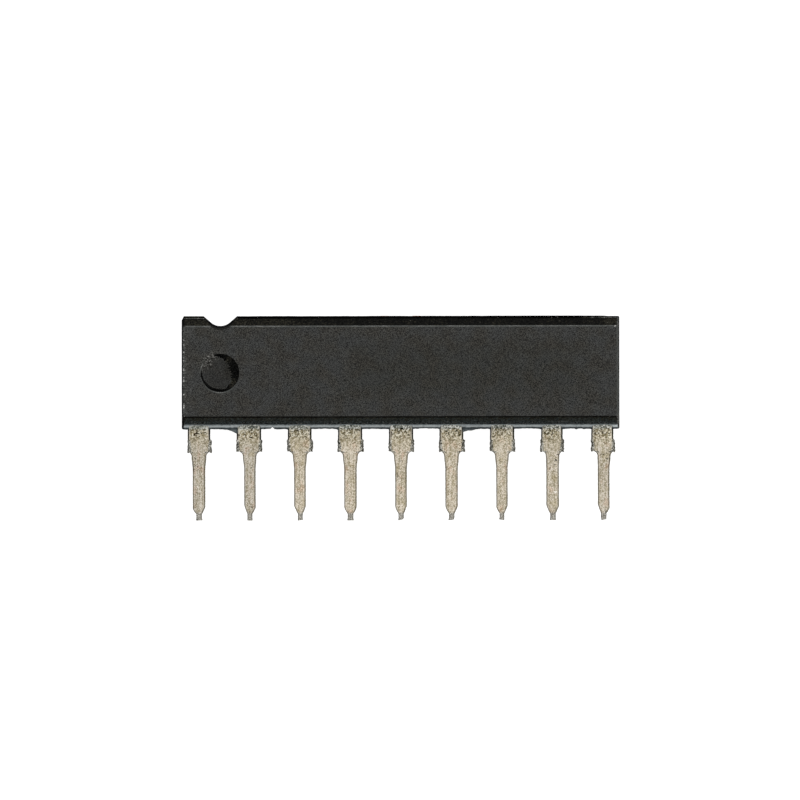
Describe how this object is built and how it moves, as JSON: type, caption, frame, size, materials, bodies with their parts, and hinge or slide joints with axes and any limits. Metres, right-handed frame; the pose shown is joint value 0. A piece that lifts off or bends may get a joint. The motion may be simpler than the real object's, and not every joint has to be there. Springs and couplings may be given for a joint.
{
  "type": "sip integrated circuit chip",
  "caption": "Black moulded single-in-line integrated circuit package with a row of flat tinned through-hole pins, and an edge notch and a round dimple beside pin one.",
  "frame": {"origin": "centre of the back face of the moulded body", "axes": "+X along the row of pins away from pin one, +Y away from the pins, +Z the outward normal of the front face that carries the pin-one dimple; the part lies on its back"},
  "size_m": [0.022, 0.0103, 0.0028],
  "materials": {
    "moulding_compound": "fine matte on the front and back faces, smoother and darker on the flanks",
    "tinned_copper_lead": "dull warm grey tin plating, darker on the sheared edges",
    "plated_copper_island": "bare copper alloy, sealed inside the body",
    "silver_adhesive": "silver-filled adhesive, sealed inside the body",
    "silicon": "polished dark silicon, sealed inside the body",
    "gold_wire": "bright gold, sealed inside the body"
  },
  "bodies": {
    "root": {"moulded_body": "moulding_compound", "die_island": "plated_copper_island", "die_attach": "silver_adhesive", "silicon_die": "silicon", "lead_1": "tinned_copper_lead", "lead_2": "tinned_copper_lead", "lead_3": "tinned_copper_lead", "lead_4": "tinned_copper_lead", "lead_5": "tinned_copper_lead", "lead_6": "tinned_copper_lead", "lead_7": "tinned_copper_lead", "lead_8": "tinned_copper_lead", "lead_9": "tinned_copper_lead", "bond_wire_1": "gold_wire", "bond_wire_2": "gold_wire", "bond_wire_3": "gold_wire", "bond_wire_4": "gold_wire", "bond_wire_5": "gold_wire", "bond_wire_6": "gold_wire", "bond_wire_7": "gold_wire", "bond_wire_8": "gold_wire", "bond_wire_9": "gold_wire"}
  },
  "joints": []
}
